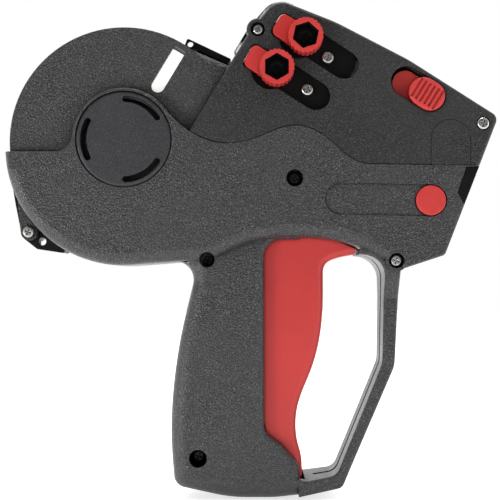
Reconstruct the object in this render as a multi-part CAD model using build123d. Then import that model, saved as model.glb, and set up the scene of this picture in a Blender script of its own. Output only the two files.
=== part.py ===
"""Hand-held price labeling gun, millimetres.

Frame: +X forward towards the nose, +Y to the tool's left, +Z up.
Origin: the label roll's axis, on the middle plane between the two moulded halves.
Every side-view outline is given as (x, z) and extruded along Y.
"""
from build123d import *
import math
import os

os.makedirs("parts", exist_ok=True)

# ---------------------------------------------------------------- driving dimensions
HALF_BODY = 22.0            # half width of the lower body and of the head
HALF_CHEEK = 17.0           # half width over the label roll's side cheeks
HALF_GRIP = 17.0            # half width of the handle
HALF_GUARD = 13.0           # half width of the finger guard
WALL = 2.4                  # moulded wall thickness
SEAM_GAP = 0.2              # gap between covers that meet in a visible seam
MID_GAP = 0.1               # half of the gap where the two halves meet

BOWL_CENTRE = (-0.2, -2.4)  # centre of the round lower body below the label roll
BOWL_R = 51.4
CHEEK_R = 49.7
BOWL_TOP_Z = -4.6           # level of the lower body's rear top edge
HUB_CENTRE = (0.2, 0.6)      # the hub plates sit a little off the roll's axis
HUB_R = 20.8
ROLL_AXIS = (0.0, 0.0)
ROLL_R = 46.2               # a full label roll
ROLL_HALF = 12.6            # half width of the label web
STUB_R = 19.6               # hub stub inside the roll's core
BODY_ROUND = 5.5            # soft lower edge of the body and the bowl
GUSSET_R = 8.0              # hollow corner between the bowl and the handle
GRIP_ROUND = 7.0            # soft rear edge of the handle
LOBE_R = 22.3               # raised ring of the lower body around the hub plate
LOBE_FILLET = 8.0

SEAM_Z = -10.8              # level part of the seam between head and lower body
NOSE_LOW = (138.7, -49.3)   # lower front corner of the body
FRONT_LEAN = 0.388          # forward run of the front edge for each millimetre of rise
NOSE_TOP = (161.8, 10.3)    # upper front corner of the head, on the front edge
GUARD_FLARE = (79.6, 98.0)  # X span where the guard narrows from the handle's width
GUARD_SHOULDER = (-52.0, -68.0)     # Z span where the guard narrows from its shoulder's width
HALF_SHOULDER = 20.0        # half width of the guard where it leaves the body
CHANNEL_DEPTH = 1.0         # channel inside the finger guard
NOSE_SPLIT_X = 116.5        # the nose has crisper edges than the rest of the body

HEAD_TILT = 31.8            # the print head slides forwards and down at this angle
LOWER_AXIS = (66.1, 30.2)   # lower selector axis
UPPER_AXIS = (78.3, 43.6)   # upper selector axis
HEAD_STROKE = 7.4           # travel of the print head to the label

TRIGGER_PIVOT = (72.2, -144.2)
LEVER_PIVOT = (74.0, -16.1)
DRIVE_PIN = (62.0, -50.0)   # pin on the trigger that moves the drive lever

LATCH_REAR = (122.0, 25.3)
LATCH_FRONT = (132.2, 19.0)
LATCH_R = 6.67
LATCH_OUT = -23.6           # outer face of the latch's thumb piece
BUTTON = (132.6, -25.8)
BUTTON_R = 6.5
BADGE_DEPTH = 0.6           # shallow recess behind the push button
INK_AXIS = (141.1, 0.6)
ARCH_R = 8.4
APPLICATOR_AXIS = (129.0, -43.3)
APPLICATOR_R = 7.6
FEED_AXIS = (103.0, -25.0)
DOOR_PIVOT = (-42.3, -39.0)
BRACKET_EYE = (-37.3, -43.0)
BRIDGE_EYE = (28.45, 43.68)
LUG = 2.4                   # thickness of the lugs around the two cord eyes
ROOF = ((28.0, 41.0), (50.5, 31.3))     # straight wall on top of the cheeks, slot to head

WINDOW_PROUD = 2.0          # the clear window stands out from the head's rear edge
HEAD_BOSS = (58.1, 47.8)
HEAD_BOSS_R = 4.9
NOSE_SCREW = (155.1, 7.3)
KEYHOLE_END = 20.2          # length of the slot ahead of each selector axis
KEYHOLE_SLOT_R = 6.25
KEYHOLE_RING = (-2.15, -1.1)
KEYHOLE_RING_R = 8.5
KNOB_R = 7.5
KNOB_NOTCHES = 24
KNOB_OUT = -30.5            # outer face of the knobs
KNOB_IN = -22.85
SHAFT_R = 2.5

CHASSIS_OUT = 14.5          # outer face of the steel side plates
CHASSIS_IN = 13.0
FRAME_OUT = 12.4            # outer face of the print head's own side plates
FRAME_IN = 10.6
ANVIL_AT = 47.0             # anvil rods behind the type, along the print head's path

RUNNING = 0.06              # radial clearance of every bore on its shaft
SCREW_HEAD_R = 2.65
SCREW_SHANK_R = 1.45
PILOT_DEPTH = 10.5          # blind screw holes in the left half
BAND_PITCH = 2.3
BAND_COUNT = 8
BAND_THICK = 1.1
WHEEL_R = 6.0
ANVIL_R = 3.0
ANVIL_ROWS = (3.6, 13.2)    # heights of the two anvil rods across the print head's path
PLATEN_AT = ANVIL_AT + ANVIL_R + HEAD_STROKE + 0.8


# ---------------------------------------------------------------- geometry helpers
def prism(face, y_low, y_high):
    """Extrude a side-view face between two Y planes."""
    return Pos(0, y_high, 0) * extrude(Plane.XZ * face, amount=y_high - y_low)


def disc(centre, radius, y_low, y_high):
    """A cylinder along Y at a side-view centre."""
    return prism(Pos(*centre) * Circle(radius), y_low, y_high)


def polygon(corners):
    """A closed face from (x, z, corner radius) triples."""
    points = [(x, z) for x, z, radius in corners]
    radii = [radius for x, z, radius in corners]
    return make_face(FilletPolyline(*points, radius=radii, close=True))


def obround(start, end, radius):
    """A slot-shaped face between two centres."""
    dx = end[0] - start[0]
    dz = end[1] - start[1]
    middle = ((start[0] + end[0]) / 2, (start[1] + end[1]) / 2)
    angle = math.degrees(math.atan2(dz, dx))
    return Pos(*middle) * Rot(0, 0, angle) * SlotCenterToCenter(math.hypot(dx, dz), 2 * radius)


def head_point(along, across):
    """A side-view point in the print head's tilted frame, measured from the lower axis."""
    c = math.cos(math.radians(HEAD_TILT))
    s = math.sin(math.radians(HEAD_TILT))
    return (LOWER_AXIS[0] + along * c + across * s, LOWER_AXIS[1] - along * s + across * c)


def round_face_edges(solid, y_face, radius, wanted):
    """Round the edges that lie in the plane y = y_face and whose middle is wanted."""
    picked = []
    for edge in solid.edges():
        points = [edge @ 0, edge @ 0.5, edge @ 1]
        if max(abs(p.Y - y_face) for p in points) < 0.01 and wanted(points[1].X, points[1].Z):
            picked.append(edge)
    return fillet(picked, radius)


def mirrored(solid):
    return mirror(solid, about=Plane.XZ)


def save(name, *solids):
    """Write one node: one solid, or a group of separate ones."""
    shapes = []
    for item in solids:
        shapes.extend(item.solids())
    part = shapes[0] if len(shapes) == 1 else Compound(children=shapes)
    export_step(part, os.path.join("parts", name + ".step"))


def pan_screw(centre, y_head, length, head_r=SCREW_HEAD_R, shank_r=SCREW_SHANK_R):
    """A cross-recessed pan head screw whose head faces the tool's right, -Y."""
    head_h = 0.75 * head_r
    head = disc(centre, head_r, y_head, y_head + head_h)
    head = round_face_edges(head, y_head, 0.45 * head_h, lambda x, z: True)
    shank = disc(centre, shank_r, y_head + head_h, y_head + head_h + length)
    recess_depth = 0.55 * head_h
    arm = Box(1.15 * head_r, 2 * recess_depth, 0.26 * head_r)
    cross = arm + Rot(0, 90, 0) * arm
    at = Pos(centre[0], y_head, centre[1]) * Rot(0, 20, 0)
    return head + shank - at * cross


# ---------------------------------------------------------------- outlines
def seam_wave(lift):
    """Points of the waved seam from the level part back to the head's rear edge."""
    places = [(107.5, SEAM_Z + 0.5), (90.0, -0.6), (74.5, 6.5), (60.0, 2.2), (45.5, -1.3), (28.5, 4.0)]
    return [(x, z + lift) for x, z in places]


def seam_edges():
    """Top edge of the lower body, from the nose back to the hub lobe."""
    lobe_angle = math.radians(37.0)
    lobe_end = (HUB_CENTRE[0] + LOBE_R * math.cos(lobe_angle),
                HUB_CENTRE[1] + LOBE_R * math.sin(lobe_angle))
    points = seam_wave(0.0)
    level = Line((front_edge_x(SEAM_Z), SEAM_Z), points[0])
    wave = Spline(*points, lobe_end,
                  tangents=[(-1, 0.03), (-math.sin(lobe_angle), math.cos(lobe_angle))])
    return level, wave, lobe_end


def front_edge_x(z):
    """The straight front edge of the body, from the lower to the upper nose corner."""
    return NOSE_LOW[0] + FRONT_LEAN * (z - NOSE_LOW[1])


def lobe_points(lobe_end):
    """The hub lobe's arc and the hollow corner behind it, ending on the rear top edge."""
    fillet_z = BOWL_TOP_Z + LOBE_FILLET
    rise = fillet_z - HUB_CENTRE[1]
    reach = math.sqrt((LOBE_R + LOBE_FILLET) ** 2 - rise ** 2)
    fillet_centre = (HUB_CENTRE[0] - reach, fillet_z)
    share = LOBE_R / (LOBE_R + LOBE_FILLET)
    join = (HUB_CENTRE[0] - reach * share, HUB_CENTRE[1] + rise * share)
    flat = (fillet_centre[0], BOWL_TOP_Z)
    half = math.radians(-45)
    between = (fillet_centre[0] + LOBE_FILLET * math.cos(half),
               fillet_centre[1] + LOBE_FILLET * math.sin(half))
    top = (HUB_CENTRE[0], HUB_CENTRE[1] + LOBE_R)
    lobe = ThreePointArc(lobe_end, top, join)
    corner = ThreePointArc(join, between, flat)
    return lobe, corner, flat


def lower_body_face():
    """Side view of the full-width lower body."""
    level, wave, lobe_end = seam_edges()
    lobe, corner, flat = lobe_points(lobe_end)
    rear_x = BOWL_CENTRE[0] - math.sqrt(BOWL_R ** 2 - (BOWL_TOP_Z - BOWL_CENTRE[1]) ** 2)
    rear = Line(flat, (rear_x, BOWL_TOP_Z))
    under = (2.5, BOWL_CENTRE[1] - math.sqrt(BOWL_R ** 2 - 2.7 ** 2))
    slant = math.radians(225)
    belly = (BOWL_CENTRE[0] + BOWL_R * math.cos(slant), BOWL_CENTRE[1] + BOWL_R * math.sin(slant))
    bowl = ThreePointArc((rear_x, BOWL_TOP_Z), belly, under)
    shoulder = Polyline(under, (28.5, -51.6), (36.0, -51.6))
    crease = Spline((36.0, -51.6), (50.0, -45.6), (75.0, -41.6), (98.0, -44.6), (112.0, -51.8),
                    tangents=[(1, 0.25), (1, -0.6)])
    front = FilletPolyline((112.0, -51.8), (121.4, -55.0), NOSE_LOW,
                           (front_edge_x(SEAM_Z), SEAM_Z), radius=[1.5, 2.5])
    edges = [level, wave, lobe, corner, rear, bowl, shoulder, crease, front]
    return make_face(Curve() + edges)


def cheek_face(radius, reach):
    """Side cheek of the roll chamber: a disc that runs forwards under the head."""
    (rear_x, rear_z), (front_x, front_z) = ROOF
    tail = polygon([(0, 0, 0), (0.487 * radius, 0.873 * radius, 0), (rear_x - reach, rear_z - reach, 0),
                    (front_x, front_z - reach, 0), (33.0, 1.5, 0), (33.0, -12.0, 0), (10.0, -20.0, 0)])
    return Circle(radius) + tail


def grip_face(inset=0.0):
    """Handle: its rear is a shallow curve, its front is open towards the trigger."""
    rear = Spline((29.4 + inset, -63.0), (26.2 + inset, -76.0), (21.2 + inset, -105.6),
                  (20.1 + inset, -124.5), (20.6 + inset, -138.0),
                  tangents=[(-0.24, -1), (0.08, -1)])
    foot = FilletPolyline((20.6 + inset, -138.0), (21.6 + inset, -150.3 + inset),
                          (46.0, -155.6 + inset), (66.0, -155.6 + inset), (80.0, -154.0 + inset),
                          (79.0, -147.6), (76.3, -147.0), (76.2, -141.0), (68.5, -132.0),
                          (61.0, -126.5), (60.8, -42.4), (76.0, -42.4),
                          radius=[5.6, 60.0, 60.0, 0, 0, 0, 5.0, 6.0, 6.0, 8.0])
    top = FilletPolyline((76.0, -42.4), (76.0, -39.0), (56.0, -36.0), (12.0, -36.0), (12.0, -52.7),
                         (32.0 + inset, -51.1), (29.4 + inset, -63.0),
                         radius=[0, 0, 0, 0, GUSSET_R])
    return make_face(Curve() + [rear, foot, top])


LOOP_CORNERS = [(113.6, -50.2, 10.0), (112.8, -96.4, 10.0), (92.8, -145.6, 6.0)]


def guard_face():
    """Finger guard: a slanting bow from the nose to the handle's foot."""
    return polygon([(102.6, -40.0, 0), (102.6, -49.0, 0)] + LOOP_CORNERS
                   + [(76.0, -148.4, 0), (76.0, -154.6, 0), (95.2, -151.2, 3.5), (118.2, -97.8, 12.0),
                      (120.2, -56.0, 1.0), (123.0, -46.0, 0)])


def guard_channel():
    """Shallow channel along the middle of the guard's inner face."""
    loop = polygon([(90.0, -70.0, 0), (98.0, -48.6, 0)] + LOOP_CORNERS
                   + [(84.0, -147.2, 0), (84.0, -110.0, 0)])
    return prism(offset(loop, CHANNEL_DEPTH), -1.5, 1)


def head_block_face():
    """Head outline with straight lower edges, used for its walls and its clear window."""
    return polygon([(20.0, -10.8, 0), (55.4, 48.6, 6.0), (66.2, 61.2, 8.0), (91.6, 51.2, 60.0),
                    (123.1, 34.9, 60.0), NOSE_TOP + (3.5,),
                    (front_edge_x(SEAM_Z - 10), SEAM_Z - 10, 0), (20.0, SEAM_Z - 10, 0)])


def head_face():
    """Side view of a head cover: it ends a small gap above the seam."""
    points = seam_wave(2 * SEAM_GAP)
    wave = Spline(*points, tangents=[(-1, 0.03), (-0.85, 0.55)])
    front = (front_edge_x(points[0][1] - 0.5), points[0][1] - 0.5)
    outer = FilletPolyline(points[-1], (28.5, 4.5), (55.4, 48.6), (66.2, 61.2), (91.6, 51.2), (123.1, 34.9),
                           NOSE_TOP, front, points[0], radius=[0, 6.0, 8.0, 60.0, 60.0, 3.5, 0])
    return make_face(Curve() + [wave, outer])


def arch_face(radius):
    """Round-topped side cover of the ink roller."""
    x, z = INK_AXIS
    sides = Polyline((x + radius, z), (x + radius, SEAM_Z), (x - radius, SEAM_Z), (x - radius, z))
    return make_face(Curve() + [sides, ThreePointArc((x - radius, z), (x, z + radius), (x + radius, z))])


def trigger_face():
    """Trigger: a slender lever with a forward-curled finger rest at its top."""
    front = Spline((86.9, -56.8), (86.7, -74.0), (81.8, -99.3), (75.4, -117.5), (75.6, -131.0),
                   (77.6, -143.0), tangents=[(0, -1), (0, -1)])
    low = ThreePointArc((77.6, -143.0), (72.0, -149.4), (66.8, -143.0))
    rear = Spline((66.8, -143.0), (60.5, -120.0), (57.4, -90.0), (57.0, -52.0))
    top = Spline((57.0, -52.0), (64.5, -43.0), (75.5, -40.4), (88.4, -41.9), (101.2, -46.5),
                 tangents=[(0, 1), (1, -0.45)])
    curl = Polyline((101.2, -46.5), (100.6, -48.9))
    under = Spline((100.6, -48.9), (92.6, -50.6), (86.9, -56.8), tangents=[(-1, -0.12), (0, -1)])
    return make_face(Curve() + [front, low, rear, top, curl, under])


def view_slot(centre_r=28.4):
    """Square-ended, round-rooted viewing slot that points outwards at 59 degrees."""
    angle = math.radians(58.9)
    inner = (centre_r * math.cos(angle), centre_r * math.sin(angle))
    outer = (47.2 * math.cos(angle), 47.2 * math.sin(angle))
    middle = ((inner[0] + outer[0]) / 2, (inner[1] + outer[1]) / 2)
    length = math.hypot(outer[0] - inner[0], outer[1] - inner[1])
    bar = Pos(*middle) * Rot(0, 0, 58.9) * Rectangle(length, 5.8)
    return bar + Pos(*inner) * Circle(2.9)


# ---------------------------------------------------------------- body halves
BODY_SCREWS = [
    # centre, boss radius, seat of the screw head, recess radius
    ((36.1, -51.3), 4.6, -5.0, 3.3),
    ((32.1, -137.8), 5.2, -7.0, 3.9),
    ((117.9, -51.7), 4.7, -17.5, 3.3),
]


def body_outside():
    """Right half of the lower moulding before hollowing: body, cheek, handle and guard."""
    face = lower_body_face()
    nose_side = Pos(NOSE_SPLIT_X + 50, 0) * Rectangle(100, 300)
    lobe_side = Pos(-15.5, 19) * Rectangle(67, 62)
    nose = prism(face & nose_side, -HALF_BODY, 0)
    nose = round_face_edges(nose, -HALF_BODY, 1.0, lambda x, z: x > 122 and z < SEAM_Z - 2)
    lobe = prism(face & lobe_side, -HALF_BODY, 0)
    lobe = round_face_edges(lobe, -HALF_BODY, 1.2, lambda x, z: x < 17.9 and z > BOWL_TOP_Z - 0.5)
    body = prism(face - nose_side - lobe_side, -HALF_BODY, 0)
    body = round_face_edges(body, -HALF_BODY, BODY_ROUND, lambda x, z: z < BOWL_TOP_Z - 8 and x < 113)
    cheek = prism(cheek_face(CHEEK_R, 0.0), -HALF_CHEEK, 0)
    cheek = round_face_edges(cheek, -HALF_CHEEK, 2.6, lambda x, z: z > -10 and x < 48)
    grip = prism(grip_face(), -HALF_GRIP, 0)
    grip = round_face_edges(grip, -HALF_GRIP, GRIP_ROUND,
                            lambda x, z: (x < 31 and z < -51.5) or (z < -150 and x < 79.4))
    grip = round_face_edges(grip, -HALF_GRIP, 2.5, lambda x, z: x > 60 and -146.5 < z < -56)
    front_boss = disc(BODY_SCREWS[2][0], BODY_SCREWS[2][1], 1.0 - HALF_BODY, 0)
    return body + nose + lobe + cheek + grip + guard_outside() + front_boss


def guard_outside():
    """Right half of the finger guard, widening towards its foot and towards the body."""
    foot_end, foot_start = GUARD_FLARE
    top_end, top_start = GUARD_SHOULDER
    guard = prism(guard_face(), -HALF_SHOULDER, 0)
    beside_foot = make_face(Polyline((foot_end, -HALF_GRIP), (foot_start, -HALF_GUARD), (200, -HALF_GUARD),
                                     (200, -30), (0, -30), (0, -HALF_GRIP), close=True))
    beside_top = make_face(Polyline((-HALF_SHOULDER, top_end), (-HALF_GUARD, top_start), (-HALF_GUARD, -200),
                                    (-30, -200), (-30, top_end), close=True))
    foot_room = Pos(0, 0, -200) * extrude(beside_foot, amount=200)
    top_room = extrude(Plane.YZ * beside_top, amount=200)
    guard -= foot_room & top_room
    rims = []
    for edge in guard.edges():
        points = [edge @ 0, edge @ 0.5, edge @ 1]
        on_flank = max(abs(p.Y + guard_half_width(p.X, p.Z)) for p in points) < 0.01
        along = abs(points[0].X - points[2].X) > 0.3 or points[1].X > foot_start + 0.5
        if on_flank and along and points[1].Z < -48.7 and points[1].X > foot_end + 0.1:
            rims.append(edge)
    return fillet(rims, 1.2)


def guard_half_width(x, z):
    """Half width of the finger guard at a side-view point."""
    foot_end, foot_start = GUARD_FLARE
    top_end, top_start = GUARD_SHOULDER
    foot_share = min(1.0, max(0.0, (x - foot_end) / (foot_start - foot_end)))
    top_share = min(1.0, max(0.0, (z - top_end) / (top_start - top_end)))
    at_foot = HALF_GRIP + foot_share * (HALF_GUARD - HALF_GRIP)
    at_top = HALF_SHOULDER + top_share * (HALF_GUARD - HALF_SHOULDER)
    return max(at_foot, at_top)


def body_hollows():
    """The separate spaces that are removed from the right half's inside."""
    wall_y = -HALF_BODY + WALL
    chamber_y = -HALF_CHEEK + WALL
    bowl = Pos(*BOWL_CENTRE) * Circle(BOWL_R - WALL)
    bowl &= Pos(0, BOWL_TOP_Z - WALL - 40) * Rectangle(140, 80)
    lower = prism(bowl, wall_y, 1)
    lobe = disc(HUB_CENTRE, LOBE_R - WALL, wall_y, 1)
    belly = prism(polygon([(0, -51.1, 0), (36, -49.2, 0), (50, -43.2, 12), (75, -38.6, 30), (98, -42.0, 30),
                           (112, -49.2, 5), (121.4, -52.3, 3), (136.6, -47.4, 1),
                           (front_edge_x(12) - WALL - 0.2, 12, 0), (46, 12, 0), (46, -3.7, 0),
                           (32, -1.0, 6), (18, 7.5, 0), (0, 0, 0)]), wall_y, 1)
    passage = prism(polygon([(20, -20, 0), (20, 12, 0), (60, 12, 0), (60, -20, 0)]), chamber_y, 1)
    chamber = prism(cheek_face(CHEEK_R - WALL, WALL), chamber_y, 1)
    handle = prism(grip_face(WALL) & (Pos(36.75, -97) * Rectangle(43.5, 108)), -HALF_GRIP + WALL, 1)
    trigger_way = prism(polygon([(50, -36, 0), (104, -40, 0), (102.5, -49.5, 0), (88, -70, 0),
                                 (78.4, -152, 3), (64, -152, 2), (50, -100, 0)]), -12.2, 1)
    mouth = prism(polygon([(123.5, -62, 0), (123.5, -45.5, 0), (118.5, -38, 0), (141, -13.5, 0),
                           (170, -13.5, 0), (150, -62, 0)]), wall_y, 1)
    return [lower, lobe, belly, passage, chamber, handle, trigger_way, mouth, guard_channel()]


def door_opening():
    """Part of the rim between the cheeks that the label door closes."""
    ring = Circle(CHEEK_R + 6) - Circle(CHEEK_R - WALL - 1)
    return prism(ring & sector(90, 67, 228), -12.4, 1)


def sector(radius, start, end):
    """A pie slice between two angles in degrees, as a many-sided wedge."""
    steps = max(2, round((end - start) / 30))
    angles = [math.radians(start + (end - start) * i / steps) for i in range(steps + 1)]
    rim = [(radius * math.cos(a), radius * math.sin(a), 0) for a in angles]
    return polygon([(0, 0, 0)] + rim)


def nose_insert_face(grow):
    """Black insert between the nose walls: a small wedge when seen from the side."""
    base = [(147.9, SEAM_Z - 0.6), (front_edge_x(SEAM_Z - 0.6) - 0.15, SEAM_Z - 0.6),
            (front_edge_x(-27.5) - 0.15, -27.5), (144.1, -22.4)]
    face = polygon([(x, z, 0) for x, z in base])
    return offset(face, grow) if grow else face


def body_shell(screw_side):
    """Lower moulding, drawn as a right half; only the screw side has open screw seats."""
    outside = body_outside()
    shell = outside
    for hollow in body_hollows():
        shell -= hollow
    for centre, boss_r, seat, recess_r in BODY_SCREWS:
        shell += disc(centre, boss_r, seat - 2.0, 0) & outside
        if screw_side:
            shell -= disc(centre, recess_r, -HALF_BODY - 1, seat)
            shell -= disc(centre, SCREW_SHANK_R + 0.1, seat - 1, 1)
        else:
            shell -= disc(centre, SCREW_SHANK_R + 0.1, -PILOT_DEPTH, 1)
    wall_y = -HALF_BODY + WALL
    shell += disc(HUB_CENTRE, HUB_R + 1.4, wall_y - 0.5, wall_y + 1.6)
    shell -= disc(HUB_CENTRE, HUB_R + RUNNING, -HALF_BODY - 1, wall_y)
    shell -= disc(ROLL_AXIS, STUB_R + SEAM_GAP, -HALF_BODY - 1, -10)
    shell += disc(LEVER_PIVOT, 5.2, wall_y - 0.5, -CHASSIS_OUT)
    if screw_side:
        shell -= disc(LEVER_PIVOT, 3.7, -HALF_BODY - 1, -17.0)
        shell -= disc(LEVER_PIVOT, SCREW_SHANK_R + 0.1, -HALF_BODY - 1, -10)
    for post in ((92.0, -33.0), (118.0, -22.0), (66.0, -26.0)):
        shell += disc(post, 2.2, wall_y - 0.5, -CHASSIS_OUT)
    shell -= prism(view_slot(), -HALF_BODY, -HALF_CHEEK + WALL + 0.6)
    shell -= door_opening()
    shell -= bracket_slot()
    shell -= prism(obround((93.8, -25.0), BUTTON, 6.9), -HALF_BODY - 1, -HALF_BODY + BADGE_DEPTH)
    shell -= disc(BUTTON, BUTTON_R + 0.35, -HALF_BODY - 1, -10)
    shell -= prism(nose_insert_face(0.15), -HALF_BODY - 1, 1)
    shell -= disc(TRIGGER_PIVOT, 2.0 + RUNNING, -15.7, 1)
    shell -= Pos(0, 5 - MID_GAP, 0) * Box(600, 10, 600)
    return shell.solids().sort_by(SortBy.VOLUME)[-1]


def bracket_slot():
    """Room in the bowl's rear wall for the hinge bracket."""
    return prism(polygon([(-60, -17.5, 0), (-40, -17.5, 0), (-22, -42, 0), (-22, -60, 0), (-60, -60, 0)]),
                 -7.2, 1)


# ---------------------------------------------------------------- head covers
def pointer_face(axis, grow):
    """Flag beside a selector: a short bar behind the axis with a rounded rear end."""
    u0, u1, v0, v1 = -14.0 - grow, 4.0, -5.6 - grow, 4.6 + grow
    shift = (axis[0] - LOWER_AXIS[0], axis[1] - LOWER_AXIS[1])
    corners = []
    for u, v, radius in ((u0, v0, 3.0), (u1, v0, 0), (u1, v1, 0), (u0, v1, 2.4)):
        x, z = head_point(u, v)
        corners.append((x + shift[0], z + shift[1], radius))
    return polygon(corners)


def keyhole_face(axis):
    """Opening for one selector: a ring around the knob, a slot ahead and a notch behind."""
    dx = axis[0] - LOWER_AXIS[0]
    dz = axis[1] - LOWER_AXIS[1]
    ring_x, ring_z = head_point(*KEYHOLE_RING)
    end_x, end_z = head_point(KEYHOLE_END, -0.4)
    slot = obround(axis, (end_x + dx, end_z + dz), KEYHOLE_SLOT_R)
    return slot + Pos(ring_x + dx, ring_z + dz) * Circle(KEYHOLE_RING_R) + pointer_face(axis, 0.6)


def window_zone():
    """Region of the head's rear edge that the clear window covers."""
    return polygon([(40, 44, 0), (52, 37, 0), (78, 50, 0), (70.5, 70, 0), (40, 70, 0)])


def plain_head_cover():
    """Right head cover without its controls."""
    face = head_face()
    block = head_block_face()
    cover = prism(face, -HALF_BODY, 0)
    cover = round_face_edges(cover, -HALF_BODY, 1.6, lambda x, z: z > 6 and (x < 61 or z > front_line(x) - 3))
    boss = disc(HEAD_BOSS, HEAD_BOSS_R, -HALF_BODY, -15.0)
    boss = round_face_edges(boss, -HALF_BODY, 1.0, lambda x, z: True)
    cover = cover + boss - prism(offset(block, -WALL), -HALF_BODY + WALL, 1)
    for centre, radius in ((HEAD_BOSS, HEAD_BOSS_R), (NOSE_SCREW, 4.4)):
        pillar = disc(centre, radius, -HALF_BODY + WALL - 0.5, 0) & prism(face, -HALF_BODY, 0)
        cover += pillar
        cover -= disc(centre, SCREW_SHANK_R + 0.1, -PILOT_DEPTH, 1)
    cover -= prism(cheek_face(CHEEK_R + 0.15, -0.15), -HALF_CHEEK - 0.15, 1)
    lens_way = (offset(block, 1.0) - offset(block, -WALL - 3.0)) & window_zone()
    cover -= prism(lens_way, -14.3, 1)
    cover -= prism(arch_face(ARCH_R + SEAM_GAP), -HALF_BODY - 1, -HALF_BODY + WALL)
    cover -= Pos(0, 5 - MID_GAP, 0) * Box(600, 10, 600)
    return cover


def front_line(x):
    """Height of the head's straight top edge."""
    return NOSE_TOP[1] + (NOSE_TOP[0] - x) * 0.636


def right_head_cover():
    """Right cover with both keyholes, the latch slot and its two screw seats."""
    cover = plain_head_cover()
    for axis in (LOWER_AXIS, UPPER_AXIS):
        cover -= prism(keyhole_face(axis), -HALF_BODY - 1, -HALF_BODY + WALL)
    cover -= prism(obround(LATCH_REAR, LATCH_FRONT, LATCH_R), -HALF_BODY - 1, -HALF_BODY + WALL)
    cover -= disc(HEAD_BOSS, 3.1, -HALF_BODY - 1, -HALF_BODY + 2.4)
    cover -= disc(NOSE_SCREW, 2.95, -HALF_BODY - 1, -HALF_BODY + 1.65)
    for centre in (HEAD_BOSS, NOSE_SCREW):
        cover -= disc(centre, SCREW_SHANK_R + 0.1, -HALF_BODY - 1, -5.0)
    return cover.solids().sort_by(SortBy.VOLUME)[-1]


def left_head_cover():
    """Left cover: closed, with plain screw pillars."""
    return mirrored(plain_head_cover().solids().sort_by(SortBy.VOLUME)[-1])


def viewing_window():
    """Clear lens over the type wheels, standing a little proud of the rear edge."""
    block = head_block_face()
    strip = (offset(block, WINDOW_PROUD) - offset(block, -1.0)) & offset(window_zone(), -0.3)
    return prism(strip, -14.0, 14.0).solids().sort_by(SortBy.VOLUME)[-1]


def arch_cover():
    """Right side cover over the ink roller."""
    face = arch_face(ARCH_R) & (Pos(141, 20 + SEAM_Z + 2 * SEAM_GAP) * Rectangle(60, 40))
    plate = prism(face, -HALF_BODY, -HALF_BODY + WALL - 0.05)
    tongue = prism(Pos(INK_AXIS[0], -6.5) * Rectangle(9, 5), -HALF_BODY + WALL - 0.2, -CHASSIS_OUT)
    return plate + tongue


# ---------------------------------------------------------------- label roll chamber
def hub_plate():
    """Right hub plate with three arc windows and the stub that carries the label core."""
    outer_y = -HALF_BODY + 0.3
    inner_y = -HALF_BODY + WALL
    plate = disc(HUB_CENTRE, HUB_R, outer_y, inner_y)
    plate = round_face_edges(plate, outer_y, 1.4, lambda x, z: True)
    stub = disc(ROLL_AXIS, STUB_R, inner_y - 0.2, -8.0) - disc(ROLL_AXIS, STUB_R - 1.0, inner_y, -7)
    plate += stub + disc(ROLL_AXIS, STUB_R, -9.0, -8.0)
    ring = Pos(*HUB_CENTRE) * (Circle(18.7) - Circle(15.9))
    for middle in (60, 180, 300):
        window = ring & (Pos(*HUB_CENTRE) * sector(40, middle - 27, middle + 27))
        ends = []
        for side in (-27, 27):
            ends.append(Pos(*HUB_CENTRE) * Rot(0, 0, middle + side) * Pos(17.3, 0) * Circle(1.4))
        plate -= prism(window + ends[0] + ends[1], outer_y - 1, inner_y + 1)
    return plate


def label_roll():
    """A full roll of labels on its core, turning on the two hub stubs."""
    return disc(ROLL_AXIS, ROLL_R, -ROLL_HALF, ROLL_HALF) - disc(ROLL_AXIS, STUB_R + RUNNING, -20, 20)


def roll_bridge():
    """Bar across the top of the cheeks, with an eye for a hanging cord."""
    bar = polygon([(25.75, 42.55, 0.5), (27.2, 46.2, 0.8), (46.2, 37.2, 0), (44.8, 34.8, 0), (31.0, 41.3, 0)])
    foot_rear, foot_front = 31.5, 43.5
    foot = polygon([(foot_rear, 41.4, 0), (foot_front, 35.8, 0),
                    (foot_front, roof_height(foot_front) + SEAM_GAP, 0),
                    (foot_rear, roof_height(foot_rear) + SEAM_GAP, 0)])
    bridge = prism(bar, -11.0, 11.0) + prism(foot, -9.0, 9.0)
    between_lugs = Pos(20.9, 45) * Rectangle(20, 20)
    bridge -= prism(between_lugs, LUG - 11.0, 11.0 - LUG)
    return bridge - disc(BRIDGE_EYE, 1.3, -20, 20)


def roof_height(x):
    """Height of the straight wall on top of the cheeks, between the slot and the head."""
    (rear_x, rear_z), (front_x, front_z) = ROOF
    return rear_z + (x - rear_x) * (front_z - rear_z) / (front_x - rear_x)


def hinge_bracket():
    """Block at the back of the bowl that carries the door hinge and a lanyard eye."""
    outline = polygon([(-46.0, -18.4, 1.0), (-50.4, -19.4, 0.8), (-49.2, -26.5, 2.0), (-46.6, -39.6, 1.0),
                       (-45.4, -41.8, 1.0), (-39.6, -46.4, 2.0), (-27.7, -48.2, 1.0), (-26.0, -43.0, 0),
                       (-36.0, -33.5, 0)])
    bracket = prism(outline, -7.0, 7.0)
    bracket -= disc(DOOR_PIVOT, SCREW_SHANK_R + RUNNING, -10, 10)
    beside_lug = polygon([(-40.4, -50.0, 0), (-40.4, -42.2, 0), (-37.3, -38.9, 0), (-33.2, -41.6, 0),
                          (-33.2, -50.0, 0)])
    bracket -= prism(beside_lug, LUG - 7.0, 8)
    return bracket - disc(BRACKET_EYE, 1.7, -10, 10)


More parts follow.
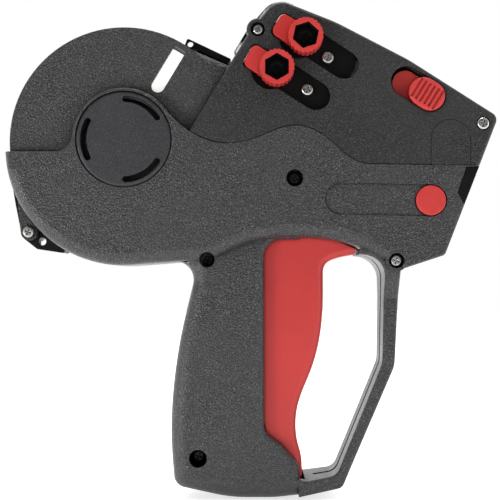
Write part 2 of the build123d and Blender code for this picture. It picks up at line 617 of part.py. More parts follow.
def label_door():
    """Curved strip between the cheeks, with two hinge lugs beside the bracket."""
    ring = Circle(CHEEK_R - 0.4) - Circle(CHEEK_R - WALL - 0.4)
    strip = prism(ring & sector(90, 68, 201), -12.1, 12.1)
    arm = (ring & sector(90, 199, 214)) + obround((-43.6, -25.5), DOOR_PIVOT, 3.6)
    lug = prism(arm, -12.1, -7.4)
    door = strip + lug + mirrored(lug)
    return door - disc(DOOR_PIVOT, SCREW_SHANK_R + RUNNING, -20, 20)


# ---------------------------------------------------------------- trigger and drive
def trigger():
    """Hollow trigger with rounded finger edges and a slot for the drive lever."""
    face = trigger_face()
    body = prism(face, -11.8, 11.8)
    for side in (-11.8, 11.8):
        body = round_face_edges(body, side, 3.0, lambda x, z: x > 74.0 and z < -58)
    core = polygon([(50, -56, 0), (83.6, -58, 4), (83.2, -76, 30), (78.4, -99, 60), (72.4, -117, 20),
                    (72.2, -136, 2), (64, -136, 0), (50, -100, 0)])
    body -= prism(core, -8.8, 8.8)
    body -= Pos(65, 0, -52) * Box(30, 9.6, 40)
    body += disc(DRIVE_PIN, 3.4, -11.8, -5.2) + disc(DRIVE_PIN, 3.4, 5.2, 11.8)
    body -= disc(DRIVE_PIN, 1.6 + 0.02, -9.5, 9.5)
    body += disc(TRIGGER_PIVOT, 4.8, -11.8, 11.8)
    body -= disc(TRIGGER_PIVOT, 4.9, -5.0, 5.0) & prism(face, -5, 5)
    return body - disc(TRIGGER_PIVOT, 2.0 + RUNNING, -20, 20)


def torsion_spring(centre, coil_r, wire_r, turns, half_width):
    """A coiled wire spring around a Y axis."""
    pitch = 2 * half_width / turns
    path = Helix(pitch=pitch, height=2 * half_width, radius=coil_r)
    section = Plane(origin=path @ 0, z_dir=path % 0) * Circle(wire_r)
    coil = sweep(section, path=path, is_frenet=True)
    return Pos(centre[0], half_width, centre[1]) * Rot(90, 0, 0) * coil


def arm_point(pivot, direction, distance):
    return (pivot[0] + direction[0] * distance, pivot[1] + direction[1] * distance)


def drive_lever():
    """Two-armed lever: the trigger's pin swings its long arm, its short arm drives the head."""
    down_length = math.hypot(DRIVE_PIN[0] - LEVER_PIVOT[0], DRIVE_PIN[1] - LEVER_PIVOT[1])
    down = ((DRIVE_PIN[0] - LEVER_PIVOT[0]) / down_length, (DRIVE_PIN[1] - LEVER_PIVOT[1]) / down_length)
    tilt = math.radians(HEAD_TILT)
    up = (math.sin(tilt), math.cos(tilt))
    long_arm = obround(LEVER_PIVOT, arm_point(LEVER_PIVOT, down, 46.2), 5.2)
    short_arm = obround(LEVER_PIVOT, arm_point(LEVER_PIVOT, up, 25.5), 4.6)
    hub = Pos(*LEVER_PIVOT) * Circle(6.4)
    long_slot = obround(arm_point(LEVER_PIVOT, down, down_length - 1.0),
                        arm_point(LEVER_PIVOT, down, 46.0), 3.2)
    short_slot = obround(arm_point(LEVER_PIVOT, up, 23.4), arm_point(LEVER_PIVOT, up, 30), 2.2)
    face = long_arm + short_arm + hub - long_slot - short_slot
    return prism(face, -4.0, 4.0) - disc(LEVER_PIVOT, SHAFT_R + RUNNING, -10, 10)


# ---------------------------------------------------------------- print head
def head_plate_face(u0, u1, v0, v1, radius):
    corners = [head_point(u, v) + (radius,) for u, v in ((u0, v0), (u1, v0), (u1, v1), (u0, v1))]
    return polygon(corners)


def print_head_frame():
    """Carriage: two side plates tied by the anvil rods, a rear bar and the drive rod."""
    plate = head_plate_face(-9, 50, -8.5, 23.5, 4.0) + head_plate_face(25, 37, -14.0, 0, 2.0)
    for axis in (LOWER_AXIS, UPPER_AXIS):
        plate -= Pos(*axis) * Circle(SHAFT_R + RUNNING)
    frame = prism(plate, -FRAME_OUT, -FRAME_IN) + prism(plate, FRAME_IN, FRAME_OUT)
    rods = [(ANVIL_AT, row, 1.7) for row in ANVIL_ROWS]
    rods += [(31.1, -10.3, 1.8), (-6.0, 9.0, 1.6), (20, 9.0, 1.6)]
    for u, v, radius in rods:
        frame += disc(head_point(u, v), radius, -FRAME_IN, FRAME_IN)
    for point in SIDE_PLATE_SCREWS:
        frame += disc(head_point(*point), 3.0, -16.2, -FRAME_OUT) - disc(head_point(*point), 1.3, -17, -12)
    return frame


SIDE_PLATE_SCREWS = ((15.55, 0.35), (15.8, 16.8))


def head_side_plate():
    """Black plate behind the keyholes, screwed to the carriage."""
    plate = head_plate_face(-10.5, 28, -9.5, 25.2, 7.0)
    for axis in (LOWER_AXIS, UPPER_AXIS):
        plate -= Pos(*axis) * Circle(SHAFT_R + 0.5)
    for point in SIDE_PLATE_SCREWS:
        plate -= Pos(*head_point(*point)) * Circle(1.32)
    return prism(plate, -17.6, -16.2)


def type_bands(axis, row):
    """A row of separate printing bands around the selector wheel and the anvil rod."""
    x, z = head_point(ANVIL_AT, row)
    outer = make_hull((Pos(*axis) * Circle(WHEEL_R)).edges() + (Pos(x, z) * Circle(ANVIL_R)).edges())
    inner = make_hull((Pos(*axis) * Circle(WHEEL_R - BAND_THICK)).edges()
                      + (Pos(x, z) * Circle(ANVIL_R - BAND_THICK)).edges())
    loop = outer - inner
    return [prism(loop, y - 0.95, y + 0.95) for y in band_places()]


def band_places():
    first = -BAND_PITCH * (BAND_COUNT - 1) / 2
    return [first + BAND_PITCH * i for i in range(BAND_COUNT)]


def band_wheels(axis):
    """The wheels inside the bands, one for each, on the selector shaft."""
    ring = Pos(*axis) * (Circle(WHEEL_R - BAND_THICK - 0.1) - Circle(SHAFT_R + RUNNING))
    return [prism(ring, y - 0.9, y + 0.9) for y in band_places()]


def knob(axis, turn):
    """Scalloped knob with a deep hexagonal socket and a round neck."""
    rim = Circle(KNOB_R)
    for i in range(KNOB_NOTCHES):
        a = 2 * math.pi * i / KNOB_NOTCHES
        rim -= Pos((KNOB_R + 0.25) * math.cos(a), (KNOB_R + 0.25) * math.sin(a)) * Circle(0.6)
    socket = Rot(0, 0, 90 + turn) * RegularPolygon(5.05, 6, major_radius=False)
    body = prism(Pos(*axis) * rim, KNOB_OUT, KNOB_IN)
    body -= prism(Pos(*axis) * socket, KNOB_OUT - 1, KNOB_OUT + 6.0)
    body += disc(axis, 3.2, KNOB_IN - 0.5, -18.4)
    return body - disc(axis, 1.7, KNOB_OUT, -19.4)


def selector_shaft(axis):
    return disc(axis, SHAFT_R, -18.4, 9.6)


def pointer(axis):
    """Flag with a bore for the knob's neck."""
    return prism(pointer_face(axis, 0.0), -22.6, -18.3) - disc(axis, 3.2 + RUNNING, -30, 0)


# ---------------------------------------------------------------- small controls
def latch_slider():
    """Red latch: a grooved thumb piece on a flat base behind the cover."""
    dx = LATCH_FRONT[0] - LATCH_REAR[0]
    dz = LATCH_FRONT[1] - LATCH_REAR[1]
    length = math.hypot(dx, dz)
    back = (LATCH_FRONT[0] - 3.3 * dx / length, LATCH_FRONT[1] - 3.3 * dz / length)
    inner_y = -HALF_BODY + WALL
    thumb = prism(obround(back, LATCH_FRONT, LATCH_R - 0.37), LATCH_OUT, inner_y)
    thumb = round_face_edges(thumb, LATCH_OUT, 1.0, lambda x, z: True)
    neck = prism(obround(back, LATCH_FRONT, 5.6), inner_y - 0.1, inner_y + 2.6)
    base = prism(obround(LATCH_REAR, LATCH_FRONT, 5.6), inner_y + 2.4, inner_y + 4.0)
    latch = thumb + neck + base
    for i in range(6):
        step = -6.0 + 2.1 * i
        x = LATCH_FRONT[0] + (step - 0.9) * dx / length
        z = LATCH_FRONT[1] + (step - 0.9) * dz / length
        groove = Pos(x, LATCH_OUT, z) * Rot(0, HEAD_TILT, 0) * Box(1.0, 1.0, 9.0)
        latch -= groove
    return latch


def push_button(proud):
    """Right push button: a round cap, a retaining flange and a bore for its spring."""
    cap = disc(BUTTON, BUTTON_R, -HALF_BODY - proud, -17.4)
    cap = round_face_edges(cap, -HALF_BODY - proud, 0.6, lambda x, z: True)
    flange = disc(BUTTON, BUTTON_R + 1.2, -HALF_BODY + WALL + 0.05, -17.6)
    bore = disc(BUTTON, 4.9, -20.2, -10)
    return cap + flange - bore


def rollers():
    """Rollers on plain axles between the steel side plates."""
    ink = disc(INK_AXIS, 6.8, -11.5, 11.5) - disc(INK_AXIS, 1.5 + RUNNING, -20, 20)
    ink_axle = disc(INK_AXIS, 1.5, -CHASSIS_IN, CHASSIS_IN)
    applicator = disc(APPLICATOR_AXIS, APPLICATOR_R, -12.0, 12.0)
    applicator -= disc(APPLICATOR_AXIS, 1.5 + RUNNING, -20, 20)
    applicator_axle = disc(APPLICATOR_AXIS, 1.5, -CHASSIS_IN, CHASSIS_IN)
    feed_face = Circle(6.4)
    teeth = Circle(6.4)
    for i in range(12):
        a = 30 * i
        teeth += Rot(0, 0, a) * Pos(6.6, 0) * Rectangle(2.4, 1.3)
    feed = prism(Pos(*FEED_AXIS) * feed_face, -10.5, 10.5) + prism(Pos(*FEED_AXIS) * teeth, -2.0, 2.0)
    feed -= disc(FEED_AXIS, 2.0 + RUNNING, -20, 20)
    feed_axle = disc(FEED_AXIS, 2.0, -CHASSIS_IN, CHASSIS_IN)
    return {"ink_roller": ink, "ink_axle": ink_axle, "applicator_roller": applicator,
            "applicator_axle": applicator_axle, "feed_wheel": feed, "feed_axle": feed_axle}


def chassis_plate():
    """Right steel side plate inside the body."""
    outline = polygon([(60, -32, 2), (60, 10, 2), (66, 13, 2), (104, -10.8, 3), (112, -14, 3), (121, -3, 3),
                       (134, 14, 3), (150, 8, 3), (147, -8, 3), (136, -44, 3), (126, -48, 3), (112, -38, 3)])
    return prism(outline, -CHASSIS_OUT, -CHASSIS_IN)


def platen():
    """Block that backs the label while the head prints."""
    return prism(head_plate_face(PLATEN_AT, PLATEN_AT + 5, -8, 19, 0.8), -CHASSIS_IN, CHASSIS_IN)


def ink_cartridge():
    """Curved guard in front of the ink roller."""
    x, z = INK_AXIS
    ring = Pos(x, z) * ((Circle(9.4) - Circle(7.8)) & sector(30, -70, 125))
    return prism(ring, -12.6, 12.6)


def screws():
    """Cross-recessed screws, grouped by where they sit."""
    sunk = [pan_screw(centre, seat - 2.0, 15.0) for centre, boss_r, seat, recess_r in BODY_SCREWS[:2]]
    sunk.append(pan_screw(LEVER_PIVOT, -19.0, 2.4))
    guard_centre, boss_r, guard_seat, recess_r = BODY_SCREWS[2]
    cover = [pan_screw(guard_centre, guard_seat - 2.0, 20.0), pan_screw(HEAD_BOSS, -21.6, 24.0, 2.15),
             pan_screw(NOSE_SCREW, -22.4, 24.0)]
    plate = [pan_screw(head_point(*point), -19.6, 3.4, SCREW_HEAD_R, 1.3) for point in SIDE_PLATE_SCREWS]
    hinge = [pan_screw(DOOR_PIVOT, -14.1, 25.0, 2.45)]
    return {"sunk_screws": sunk, "cover_screws": cover, "side_plate_screws": plate, "hinge_screw": hinge}


# ---------------------------------------------------------------- write the nodes
def main():
    save("right_body_shell", body_shell(screw_side=True))
    save("left_body_shell", mirrored(body_shell(screw_side=False)))
    save("right_head_cover", right_head_cover())
    save("left_head_cover", left_head_cover())
    save("viewing_window", viewing_window())
    for name, part in (("arch_cover", arch_cover()), ("hub_plate", hub_plate()),
                       ("chassis_plate", chassis_plate())):
        save("right_" + name, part)
        save("left_" + name, mirrored(part))
    save("right_push_button", push_button(0.3))
    save("left_push_button", mirrored(push_button(-0.1)))
    save("label_roll", label_roll())
    save("roll_bridge", roll_bridge())
    save("hinge_bracket", hinge_bracket())
    save("label_door", label_door())
    save("nose_insert", prism(nose_insert_face(0), -21.8, 21.8))
    save("trigger", trigger())
    save("trigger_pin", disc(TRIGGER_PIVOT, 2.0, -15.6, 15.6))
    save("trigger_spring", torsion_spring(TRIGGER_PIVOT, 3.2, 0.5, 5, 4.0))
    save("drive_pin", disc(DRIVE_PIN, 1.6, -9.4, 9.4))
    save("drive_lever", drive_lever())
    save("lever_pin", disc(LEVER_PIVOT, SHAFT_R, -CHASSIS_IN, CHASSIS_IN))
    save("print_head_frame", print_head_frame())
    save("head_side_plate", head_side_plate())
    save("platen", platen())
    save("ink_cartridge", ink_cartridge())
    for name, axis, row, turn in (("lower", LOWER_AXIS, ANVIL_ROWS[0], 0),
                                  ("upper", UPPER_AXIS, ANVIL_ROWS[1], -12)):
        save(name + "_type_bands", *type_bands(axis, row))
        save(name + "_band_wheels", *band_wheels(axis))
        save(name + "_knob", knob(axis, turn))
        save(name + "_selector_shaft", selector_shaft(axis))
        save(name + "_pointer", pointer(axis))
    save("latch_slider", latch_slider())
    spring = torsion_spring(BUTTON, 3.9, 0.3, 2, 0.95)
    save("right_button_spring", Pos(0, -CHASSIS_OUT - 1.35, 0) * spring)
    save("left_button_spring", Pos(0, CHASSIS_OUT + 1.35, 0) * spring)
    for name, part in rollers().items():
        save(name, part)
    for name, group in screws().items():
        save(name, *group)


if __name__ == "__main__":
    main()
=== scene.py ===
"""Looks of a hand-held price labeling gun: materials, small mesh details, camera and studio light."""
import bpy
import math
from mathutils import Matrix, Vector


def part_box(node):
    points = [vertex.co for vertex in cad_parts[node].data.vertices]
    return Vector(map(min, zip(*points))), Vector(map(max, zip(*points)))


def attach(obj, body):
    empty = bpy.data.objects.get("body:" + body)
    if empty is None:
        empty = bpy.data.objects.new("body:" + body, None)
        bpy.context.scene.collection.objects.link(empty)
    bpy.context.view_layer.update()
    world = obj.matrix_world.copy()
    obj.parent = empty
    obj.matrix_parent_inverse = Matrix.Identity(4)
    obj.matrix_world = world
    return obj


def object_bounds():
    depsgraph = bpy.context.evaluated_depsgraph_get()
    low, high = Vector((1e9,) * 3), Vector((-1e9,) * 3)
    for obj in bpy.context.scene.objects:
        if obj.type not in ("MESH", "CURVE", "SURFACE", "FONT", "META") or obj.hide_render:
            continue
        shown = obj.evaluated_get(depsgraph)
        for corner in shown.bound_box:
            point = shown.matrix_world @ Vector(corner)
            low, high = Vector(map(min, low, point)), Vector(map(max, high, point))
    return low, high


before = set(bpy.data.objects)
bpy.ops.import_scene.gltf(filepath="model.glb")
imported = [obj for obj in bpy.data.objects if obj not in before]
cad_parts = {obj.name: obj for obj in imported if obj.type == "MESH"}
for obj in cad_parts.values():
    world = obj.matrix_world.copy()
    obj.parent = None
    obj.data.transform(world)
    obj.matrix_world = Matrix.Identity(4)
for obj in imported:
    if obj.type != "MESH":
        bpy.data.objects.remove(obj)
CAD_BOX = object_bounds()
MM = 0.001


# ---------------------------------------------------------------- node helpers
def new_material(name):
    """Makes a material. Returns it with its node tree and its shader."""
    material = bpy.data.materials.new(name)
    material.use_nodes = True
    return material, material.node_tree, material.node_tree.nodes["Principled BSDF"]


def add(tree, kind, inputs=None, **settings):
    """Adds a shader node. inputs maps a socket to a number, a colour or another node's output."""
    node = tree.nodes.new("ShaderNode" + kind)
    for key, value in settings.items():
        setattr(node, key, value)
    for key, value in (inputs or {}).items():
        if isinstance(value, bpy.types.NodeSocket):
            tree.links.new(value, node.inputs[key])
        else:
            node.inputs[key].default_value = value
    return node


def feed(tree, shader, values):
    """Links node outputs to the shader's named sockets."""
    for socket, value in values.items():
        tree.links.new(value, shader.inputs[socket])


def ramp(tree, factor, low, high, start=0.0, end=1.0):
    """Maps a factor smoothly from one range to another."""
    ranges = {"From Min": low, "From Max": high, "To Min": start, "To Max": end}
    node = add(tree, "MapRange", {"Value": factor, **ranges}, interpolation_type="SMOOTHSTEP")
    return node.outputs["Result"]


def combine(tree, operation, first, second):
    return add(tree, "Math", {0: first, 1: second}, operation=operation).outputs[0]


def mix(tree, factor, first, second):
    return add(tree, "MixRGB", {"Fac": factor, "Color1": first, "Color2": second}).outputs["Color"]


def noise(tree, place, density, detail):
    """Soft noise with density cells to the metre."""
    return add(tree, "TexNoise", {"Vector": place, "Scale": density, "Detail": detail}).outputs["Fac"]


def linear(red, green, blue):
    """Linear colour from 8-bit display values."""
    values = []
    for part in (red, green, blue):
        part /= 255
        values.append(part / 12.92 if part <= 0.04045 else ((part + 0.055) / 1.055) ** 2.4)
    return (*values, 1.0)


def shaded(colour, gain):
    return (*[gain * part for part in colour[:3]], 1.0)


def object_place(tree):
    return add(tree, "TexCoord").outputs["Object"]


def oblique_place(tree):
    """Object coordinates turned off the axes, so that flat faces cut the noise cells unevenly."""
    turned = add(tree, "Mapping", {"Vector": object_place(tree), "Rotation": (0.53, 0.71, 0.37)})
    return turned.outputs["Vector"]


def rounded_normal(tree, radius):
    """Normal that looks rounded over sharp edges, and a mask of those edges."""
    bevel = add(tree, "Bevel", {"Radius": radius}, samples=6).outputs["Normal"]
    flat = add(tree, "NewGeometry").outputs["Normal"]
    dot = add(tree, "VectorMath", {0: bevel, 1: flat}, operation="DOT_PRODUCT").outputs["Value"]
    return bevel, ramp(tree, dot, 0.995, 0.80)


def bumped(tree, height, strength, depth, normal=None):
    """Normal with a height pattern of the given depth over it."""
    inputs = {"Height": height, "Strength": strength, "Distance": depth}
    if normal is not None:
        inputs["Normal"] = normal
    return add(tree, "Bump", inputs).outputs["Normal"]


def crease_shade(tree, reach, clean, dark, normal=None):
    """Factor of painted shade for gaps and deep corners: 0 where more than clean of the sky is open, 1 below
    dark.
    """
    occlusion = add(tree, "AmbientOcclusion", {"Distance": reach}, samples=4)
    if normal is not None:
        tree.links.new(normal, occlusion.inputs["Normal"])
    return ramp(tree, occlusion.outputs["AO"], clean, dark)


# ---------------------------------------------------------------- materials
# Tones of the mouldings' details, as shares of the plastic's own brightness: painted shade in the grain's pits,
# painted glints on its tops, cloudy patches, rubbed wear with a painted highlight on edges, and painted shade
# in deep corners
PAINTED_PIT_SHADE_TONE = 0.2
PAINTED_GLINT_TONE = 4.2
CLOUD_TONE = 1.2
WEAR_AND_HIGHLIGHT_TONE = 2.6
CORNER_SHADE_TONE = 0.2

EDGE_WEAR_AND_HIGHLIGHT = 0.12            # how far an edge goes towards the worn tone, which is rubbed wear and a painted highlight
CORNER_SHADE_REACH = 10.0 * MM    # how near a wall is for its corner to get painted shade


def leather_grain(tree, place, density):
    """Height of a leather-like grain, and the fine noise that the painted shade of its pits and its painted
    glints follow.
    """
    cells = add(tree, "TexVoronoi", {"Vector": place, "Scale": density}, feature="SMOOTH_F1")
    fine = noise(tree, place, density * 1.1, 2.0)
    domes = ramp(tree, cells.outputs["Distance"], 0.1, 0.8)
    return combine(tree, "ADD", domes, combine(tree, "MULTIPLY", fine, 0.8)), fine


def grain_tone_with_painted_light(tree, colour, fine, cloud, glint_and_pit_strength):
    """Colour with painted shade in the pits, painted glints on the tops, and cloudy patches."""
    # painted shade darkens the grain's pits, and painted glints lighten its tops
    shaded_pits = combine(tree, "MULTIPLY", ramp(tree, fine, 0.50, 0.30), glint_and_pit_strength)
    painted_glints = combine(tree, "MULTIPLY", ramp(tree, fine, 0.52, 0.72), glint_and_pit_strength)
    tone = mix(tree, shaded_pits, colour, shaded(colour, PAINTED_PIT_SHADE_TONE))
    tone = mix(tree, painted_glints, tone, shaded(colour, PAINTED_GLINT_TONE))
    return mix(tree, ramp(tree, cloud, 0.3, 0.7, 0.0, 0.4), tone, shaded(colour, CLOUD_TONE))


def moulded_plastic(name, colour, grain_mm, depth_mm, glint_and_pit_strength=0.5, roughness=0.5, edge_mm=0.35, specular=0.5,
                    joint_mm=1.6, joint_shade_tone=0.1, corner_shade=0.0):
    """Plastic with a leather-like grain, painted glints and pit shade, cloudy gloss, edges lighter from rubbed
    wear and a painted highlight, and painted shade in joints and deep corners.
    """
    material, tree, shader = new_material(name)
    place = oblique_place(tree)
    height, fine = leather_grain(tree, place, 1 / (grain_mm * MM))
    cloud = noise(tree, place, 35.0, 4.0)
    normal, worn_and_lit_edges = rounded_normal(tree, edge_mm * MM)
    # painted shade in the gaps between parts: the rounded normal tilts into a gap, so the occlusion there turns
    # dark
    joint_shade = crease_shade(tree, joint_mm * MM, 0.92, 0.42, normal)
    # painted shade in deep corners, as far as ten millimetres from a wall
    corners = crease_shade(tree, CORNER_SHADE_REACH, 1.0, 0.4)
    tone = grain_tone_with_painted_light(tree, colour, fine, cloud, glint_and_pit_strength)
    # edges made lighter: rubbed wear and a painted highlight
    tone = mix(tree, combine(tree, "MULTIPLY", worn_and_lit_edges, EDGE_WEAR_AND_HIGHLIGHT), tone, shaded(colour, WEAR_AND_HIGHLIGHT_TONE))
    tone = mix(tree, combine(tree, "MULTIPLY", corners, corner_shade), tone, shaded(colour, CORNER_SHADE_TONE))
    tone = mix(tree, joint_shade, tone, shaded(colour, joint_shade_tone))
    feed(tree, shader, {
        "Base Color": tone,
        "Normal": bumped(tree, height, 0.9, depth_mm * MM, normal),
        "Roughness": ramp(tree, cloud, 0.3, 0.7, roughness - 0.05, roughness + 0.06),
        "Specular IOR Level": ramp(tree, joint_shade, 0.0, 1.0, specular, 0.1 * specular),
    })
    return material


def plated_metal(name, colour, roughness, scratch_mm):
    """Nickel or bare steel: long fine scratches, smudged gloss, painted shade in crevices."""
    material, tree, shader = new_material(name)
    place = object_place(tree)
    along = add(tree, "Mapping", {"Vector": place, "Scale": (1.0, 1.0, 9.0), "Rotation": (0.0, 0.6, 0.0)})
    lines = noise(tree, along.outputs["Vector"], 1 / (scratch_mm * MM), 5.0)
    smudge = noise(tree, place, 260.0, 3.0)
    normal, _ = rounded_normal(tree, 0.2 * MM)
    tone = mix(tree, ramp(tree, smudge, 0.35, 0.7), colour, shaded(colour, 0.6))
    feed(tree, shader, {
        # painted shade in crevices, such as a screw's cross recess
        "Base Color": mix(tree, crease_shade(tree, 1.0 * MM, 0.75, 0.25), tone, shaded(colour, 0.15)),
        "Normal": bumped(tree, lines, 0.25, 0.02 * MM, normal),
        "Roughness": ramp(tree, smudge, 0.3, 0.7, roughness, roughness + 0.18),
    })
    shader.inputs["Metallic"].default_value = 1.0
    return material


def soft_rubber(name, colour, pore_mm, roughness):
    """Matt rubber or ink foam with open pores."""
    material, tree, shader = new_material(name)
    place = object_place(tree)
    pores = add(tree, "TexVoronoi", {"Vector": place, "Scale": 1 / (pore_mm * MM)}).outputs["Distance"]
    cloud = noise(tree, place, 90.0, 4.0)
    feed(tree, shader, {
        "Base Color": mix(tree, ramp(tree, cloud, 0.3, 0.7), colour, shaded(colour, 1.5)),
        "Normal": bumped(tree, pores, 0.5, 0.15 * pore_mm * MM),
        "Roughness": ramp(tree, cloud, 0.3, 0.7, roughness - 0.1, roughness + 0.1),
    })
    return material


def clear_plastic(name):
    """Clear acrylic with a slightly smeared surface."""
    material, tree, shader = new_material(name)
    smear = noise(tree, object_place(tree), 120.0, 3.0)
    feed(tree, shader, {
        "Normal": bumped(tree, smear, 0.1, 0.1 * MM),
        "Roughness": ramp(tree, smear, 0.3, 0.8, 0.03, 0.16),
    })
    shader.inputs["Base Color"].default_value = (0.93, 0.95, 0.96, 1.0)
    shader.inputs["Transmission Weight"].default_value = 1.0
    shader.inputs["IOR"].default_value = 1.49
    return material


def roll_paper(name):
    """White label stock: fine turns of paper on the roll's sides, and a faint glow that is painted light."""
    material, tree, shader = new_material(name)
    place = object_place(tree)
    axis = add(tree, "SeparateXYZ", {"Vector": place})
    flat = add(tree, "CombineXYZ", {"X": axis.outputs["X"], "Z": axis.outputs["Z"]}).outputs["Vector"]
    radius = add(tree, "VectorMath", {0: flat}, operation="LENGTH").outputs["Value"]
    layer = combine(tree, "MULTIPLY", radius, 4000.0)
    wound = add(tree, "TexNoise", {"W": layer, "Scale": 1.0, "Detail": 2.0}, noise_dimensions="1D")
    turns = wound.outputs["Fac"]
    fibre = noise(tree, place, 1800.0, 3.0)
    feed(tree, shader, {
        "Base Color": mix(tree, ramp(tree, turns, 0.35, 0.7), linear(252, 252, 250), linear(236, 233, 224)),
        "Normal": bumped(tree, combine(tree, "ADD", turns, fibre), 0.3, 0.05 * MM),
        "Roughness": ramp(tree, fibre, 0.3, 0.7, 0.75, 0.9),
    })
    # the paper glows though it is no lamp: painted light that keeps it white in the slot's shade
    shader.inputs["Emission Color"].default_value = (1.0, 0.99, 0.96, 1.0)
    shader.inputs["Emission Strength"].default_value = 0.7
    return material


BODY_GREY = linear(49, 49, 50)
HEAD_GREY = linear(41, 41, 41)
HUB_GREY = linear(48, 48, 50)
RED = linear(183, 50, 47)
BLACK = linear(9, 8, 10)
CREAM = linear(206, 203, 194)

body_plastic = moulded_plastic("body_plastic", BODY_GREY, 0.62, 0.18, glint_and_pit_strength=0.95, roughness=0.33,
                               specular=0.42, corner_shade=0.7)
head_plastic = moulded_plastic("head_plastic", HEAD_GREY, 0.56, 0.12, glint_and_pit_strength=0.8, roughness=0.38,
                               specular=0.32, corner_shade=0.5)
hub_plastic = moulded_plastic("hub_plastic", HUB_GREY, 0.45, 0.07, glint_and_pit_strength=0.5, roughness=0.34,
                              specular=0.35, joint_mm=0.3)
insert_plastic = moulded_plastic("insert_plastic", BLACK, 0.5, 0.03, glint_and_pit_strength=0.2, roughness=0.45,
                                 specular=0.15)
red_plastic = moulded_plastic("red_plastic", RED, 0.5, 0.015, glint_and_pit_strength=0.04, roughness=0.4, edge_mm=0.5,
                              specular=0.4, joint_shade_tone=0.5)
pale_plastic = moulded_plastic("pale_plastic", CREAM, 0.6, 0.02, glint_and_pit_strength=0.05, roughness=0.42)
socket_plastic = moulded_plastic("socket_plastic", BLACK, 0.5, 0.02, glint_and_pit_strength=0.1, specular=0.08)
label_stock = roll_paper("label_stock")
bright_metal = plated_metal("bright_metal", (0.62, 0.61, 0.59, 1.0), 0.22, 0.8)
# near black, so that the sunk screws look as dark as the deep holes around them: painted shade
dark_metal = plated_metal("dark_metal", (0.03, 0.03, 0.032, 1.0), 0.35, 0.8)
dull_steel = plated_metal("dull_steel", (0.46, 0.46, 0.47, 1.0), 0.34, 1.4)
band_rubber = soft_rubber("band_rubber", linear(38, 38, 40), 0.5, 0.6)
ink_foam = soft_rubber("ink_foam", linear(20, 20, 34), 0.8, 0.75)
roller_rubber = soft_rubber("roller_rubber", linear(48, 48, 48), 0.4, 0.6)
clear = clear_plastic("clear_window")

LOOKS = {
    body_plastic: ("right_body_shell", "left_body_shell", "label_door"),
    head_plastic: ("right_head_cover", "left_head_cover", "right_arch_cover", "left_arch_cover"),
    hub_plastic: ("right_hub_plate", "left_hub_plate"),
    insert_plastic: ("roll_bridge", "hinge_bracket", "nose_insert", "platen", "ink_cartridge",
                     "head_side_plate"),
    red_plastic: ("trigger", "lower_pointer", "upper_pointer", "lower_knob", "upper_knob",
                  "latch_slider", "right_push_button", "left_push_button"),
    label_stock: ("label_roll",),
    pale_plastic: ("drive_lever", "lower_band_wheels", "upper_band_wheels", "feed_wheel"),
    bright_metal: ("cover_screws", "side_plate_screws", "hinge_screw"),
    dark_metal: ("sunk_screws",),
    dull_steel: ("right_chassis_plate", "left_chassis_plate", "trigger_pin", "trigger_spring",
                 "lever_pin", "right_button_spring", "left_button_spring", "ink_axle",
                 "applicator_axle", "feed_axle", "drive_pin", "print_head_frame",
                 "lower_selector_shaft", "upper_selector_shaft"),
    band_rubber: ("lower_type_bands", "upper_type_bands"),
    ink_foam: ("ink_roller",),
    roller_rubber: ("applicator_roller",),
    clear: ("viewing_window",),
}
for material, names in LOOKS.items():
    for name in names:
        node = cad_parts[name]
        node.data.materials.clear()
        node.data.materials.append(material)


# ---------------------------------------------------------------- small pieces in mesh code
def new_piece(name, points, faces, material, body):
    """Makes a mesh object that moves with one of the CAD's bodies."""
    mesh = bpy.data.meshes.new(name)
    mesh.from_pydata(points, [], faces)
    mesh.materials.append(material)
    piece = bpy.data.objects.new(name, mesh)
    bpy.context.scene.collection.objects.link(piece)
    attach(piece, body)


def cup(centre, rings, sides, turn):
    """Points and faces of a many-sided cup around a Y axis, from (radius, depth) rings."""
    points = []
    for radius, depth in rings:
        for i in range(sides):
            angle = math.radians(turn) + 2 * math.pi * i / sides
            across = radius * math.cos(angle)
            up = radius * math.sin(angle)
            points.append((centre.x + across, centre.y + depth, centre.z + up))
    faces = []
    for ring in range(len(rings) - 1):
        start = ring * sides
        for i in range(sides):
            following = (i + 1) % sides
            faces.append((start + i, start + following, start + sides + following, start + sides + i))
    last = (len(rings) - 1) * sides
    faces.append(tuple(last + i for i in reversed(range(sides))))
    return points, faces


SOCKET_SIDES = 6
SOCKET_CORNER = 5.77 * MM   # corner radius of the hexagonal sockets, a little inside their walls
# Rings of a socket's liner from its lip inwards: share of the corner radius, millimetres behind the knob's face
SOCKET_RINGS = [(1.0, 0.5), (0.93, 0.5), (0.93, 5.6), (0.55, 5.6), (0.40, 5.9), (0.30, 5.9)]
SOCKET_TURNS = {"lower": 90.0, "upper": 78.0}   # degrees from the X axis to a socket's corner


def make_socket_liner(level):
    """Black hexagonal liner in the socket of the lower or the upper knob."""
    low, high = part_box(level + "_knob")
    front = Vector(((low.x + high.x) / 2, low.y, (low.z + high.z) / 2))
    rings = [(share * SOCKET_CORNER, depth * MM) for share, depth in SOCKET_RINGS]
    points, faces = cup(front, rings, SOCKET_SIDES, SOCKET_TURNS[level])
    new_piece(level + "_socket_liner", points, faces, socket_plastic, level + "_dial")


for level in SOCKET_TURNS:
    make_socket_liner(level)


# ---------------------------------------------------------------- camera, light and floor
CAMERA_AT = Vector((54.71, -507.0, -60.08)) * MM
NEAR_FACE = 485.0           # millimetres from the camera to the tool's right side
FRAME_WIDTH = 215.0         # millimetres of that side across the picture
SENSOR = 36.0               # millimetres, as the lens
CAMERA_RISE = 0.06          # shift of the picture, as a share of its width
LIT_BEHIND = -0.15          # Y of a direction above which the surroundings are fully lit,
DIM_IN_FRONT = -0.75        # and below which they are at their dimmest: the camera is on the -Y side
FLOOR_REACH = 3.0           # metres from the middle to the floor's edge
FLOOR_GAP = 0.5 * MM        # under the tool


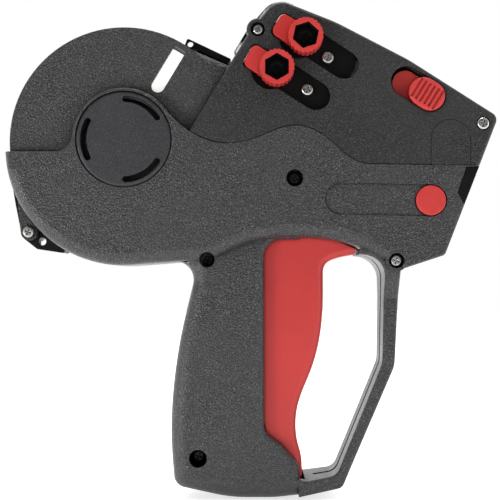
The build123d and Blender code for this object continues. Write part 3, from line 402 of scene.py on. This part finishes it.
def make_camera():
    """Level camera in front of the tool's right side."""
    data = bpy.data.cameras.new("camera")
    data.sensor_width = SENSOR
    data.lens = SENSOR * NEAR_FACE / FRAME_WIDTH
    data.shift_y = CAMERA_RISE
    camera = bpy.data.objects.new("camera", data)
    bpy.context.scene.collection.objects.link(camera)
    camera.location = CAMERA_AT
    camera.rotation_euler = (math.pi / 2, 0, 0)
    bpy.context.scene.camera = camera


def softbox(name, place, size, watts):
    """A square area light that looks at the tool's middle."""
    data = bpy.data.lights.new(name, "AREA")
    data.size = size
    data.energy = watts
    light = bpy.data.objects.new(name, data)
    bpy.context.scene.collection.objects.link(light)
    light.location = place
    middle = (CAD_BOX[0] + CAD_BOX[1]) / 2
    light.rotation_euler = (middle - Vector(place)).to_track_quat("-Z", "Y").to_euler()


def make_world(seen, around, front):
    """White surroundings that light the tool less from the camera's side, and look white in the picture."""
    world = bpy.data.worlds.new("studio")
    bpy.context.scene.world = world
    world.use_nodes = True
    tree = world.node_tree
    direction = add(tree, "TexCoord").outputs["Generated"]
    along = add(tree, "SeparateXYZ", {"Vector": direction}).outputs["Y"]
    cast = ramp(tree, along, DIM_IN_FRONT, LIT_BEHIND, front, around)
    direct = add(tree, "LightPath").outputs["Is Camera Ray"]
    strength = add(tree, "Mix", {"Factor": direct, "A": cast, "B": seen}).outputs["Result"]
    background = tree.nodes["Background"]
    background.inputs["Color"].default_value = (1, 1, 1, 1)
    tree.links.new(strength, background.inputs["Strength"])


def make_floor():
    """Plain white floor under the handle."""
    height = CAD_BOX[0].z - FLOOR_GAP
    corners = [(x * FLOOR_REACH, y * FLOOR_REACH, height) for x, y in ((-1, -1), (1, -1), (1, 1), (-1, 1))]
    mesh = bpy.data.meshes.new("floor")
    mesh.from_pydata(corners, [], [(0, 1, 2, 3)])
    floor = bpy.data.objects.new("floor", mesh)
    bpy.context.scene.collection.objects.link(floor)
    material, _, shader = new_material("floor_white")
    shader.inputs["Base Color"].default_value = (0.8, 0.8, 0.8, 1.0)
    shader.inputs["Roughness"].default_value = 0.9
    shader.inputs["Emission Color"].default_value = (1, 1, 1, 1)
    shader.inputs["Emission Strength"].default_value = 0.7
    mesh.materials.append(material)


make_camera()
softbox("key", (-0.54, -0.46, -0.20), 0.2, 7.2)
softbox("fill", (0.85, -0.6, 0.10), 0.6, 1.5)
softbox("top", (0.10, -0.20, 0.95), 0.5, 4.0)
softbox("back", (-0.3, 0.8, 0.4), 0.7, 3.0)
make_world(seen=1.0, around=1.05, front=0.08)
make_floor()
bpy.context.scene.view_settings.view_transform = "Standard"
